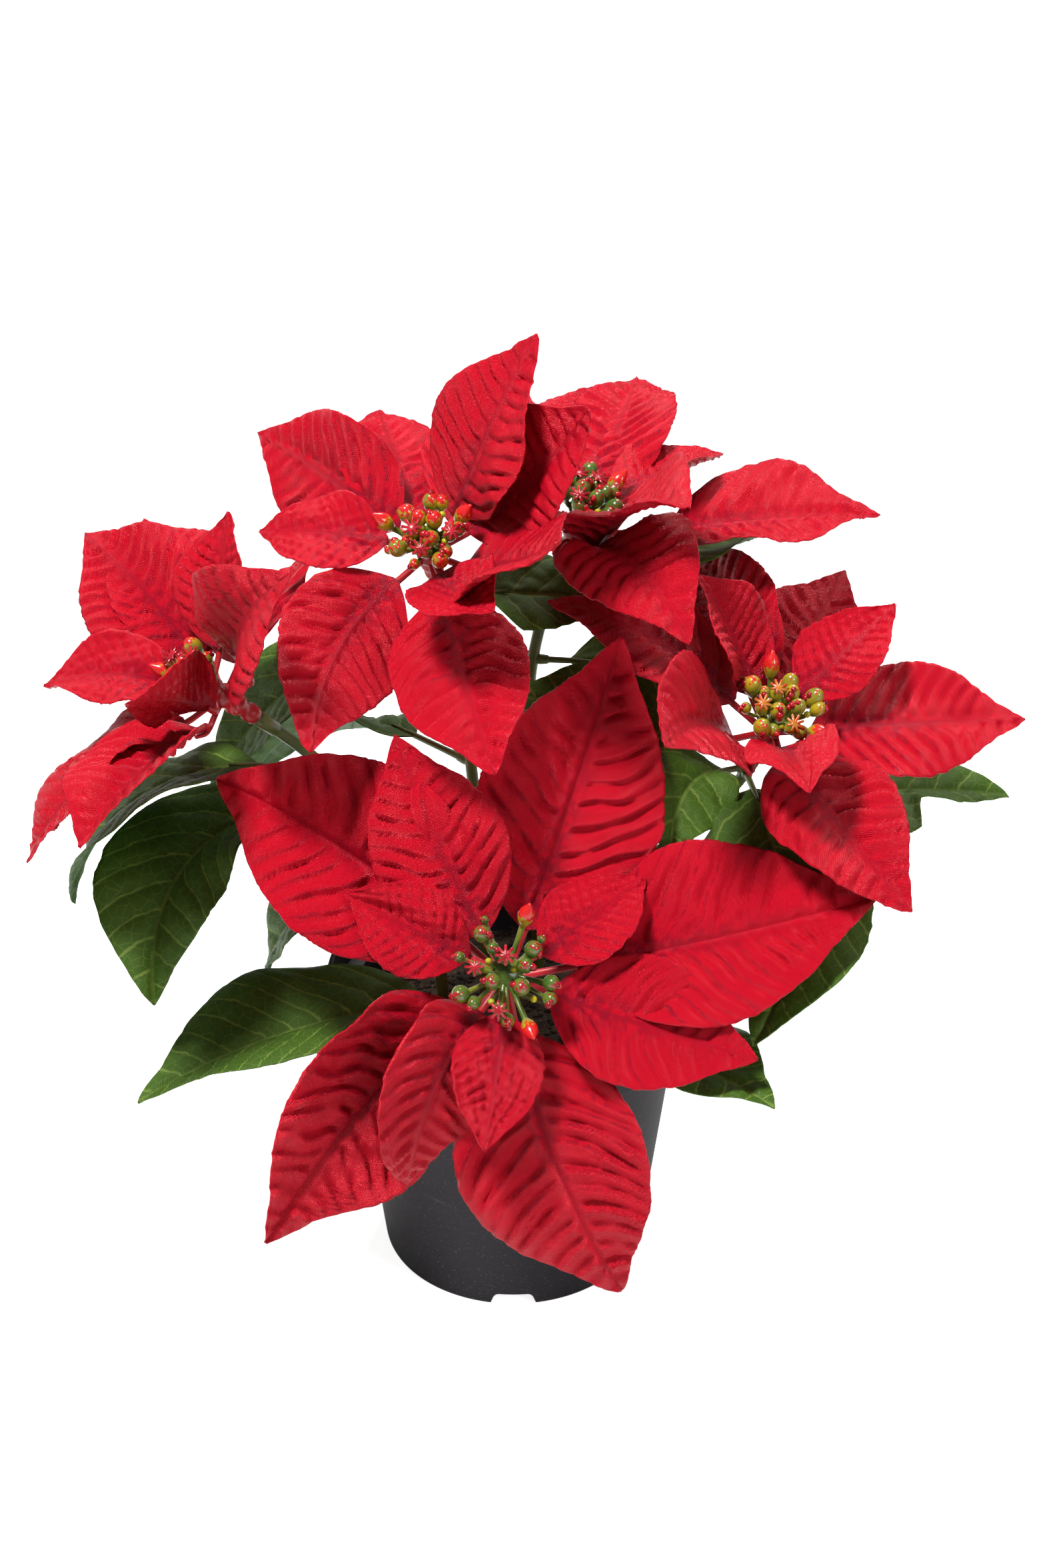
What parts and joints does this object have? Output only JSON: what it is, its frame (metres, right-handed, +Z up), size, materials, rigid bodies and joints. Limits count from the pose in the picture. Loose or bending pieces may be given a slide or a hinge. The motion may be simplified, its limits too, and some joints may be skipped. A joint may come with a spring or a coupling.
{
  "type": "artificial potted poinsettia",
  "caption": "Artificial poinsettia with red fabric flowers and green leaves on wired stems, in a round black plastic nursery pot with notches in its foot.",
  "frame": {"origin": "centre of the pot's flat underside, on the surface it stands on", "axes": "+Z up along the pot's axis; -Y the front, where the lowest flower leans over the rim; +X to the right seen from the front"},
  "size_m": [0.3067, 0.2557, 0.32],
  "materials": {
    "pot_plastic": "matte, with a soft grey sheen at grazing angles",
    "potting_fill": "rough",
    "leaf_fabric": "woven, printed veins, soft sheen",
    "bract_fabric": "woven, embossed, satin",
    "centre_plastic": "glossy, tips dipped red"
  },
  "bodies": {
    "root": {"pot": "pot_plastic", "soil": "potting_fill", "stem_front": "leaf_fabric", "stem_back_left": "leaf_fabric", "stem_left": "leaf_fabric", "stem_right": "leaf_fabric", "stem_back_right": "leaf_fabric", "bracts_front": "bract_fabric", "bracts_back_left": "bract_fabric", "bracts_left": "bract_fabric", "bracts_right": "bract_fabric", "bracts_back_right": "bract_fabric", "cyathia_front": "centre_plastic", "cyathia_back_left": "centre_plastic", "cyathia_left": "centre_plastic", "cyathia_right": "centre_plastic", "cyathia_back_right": "centre_plastic"}
  },
  "joints": []
}
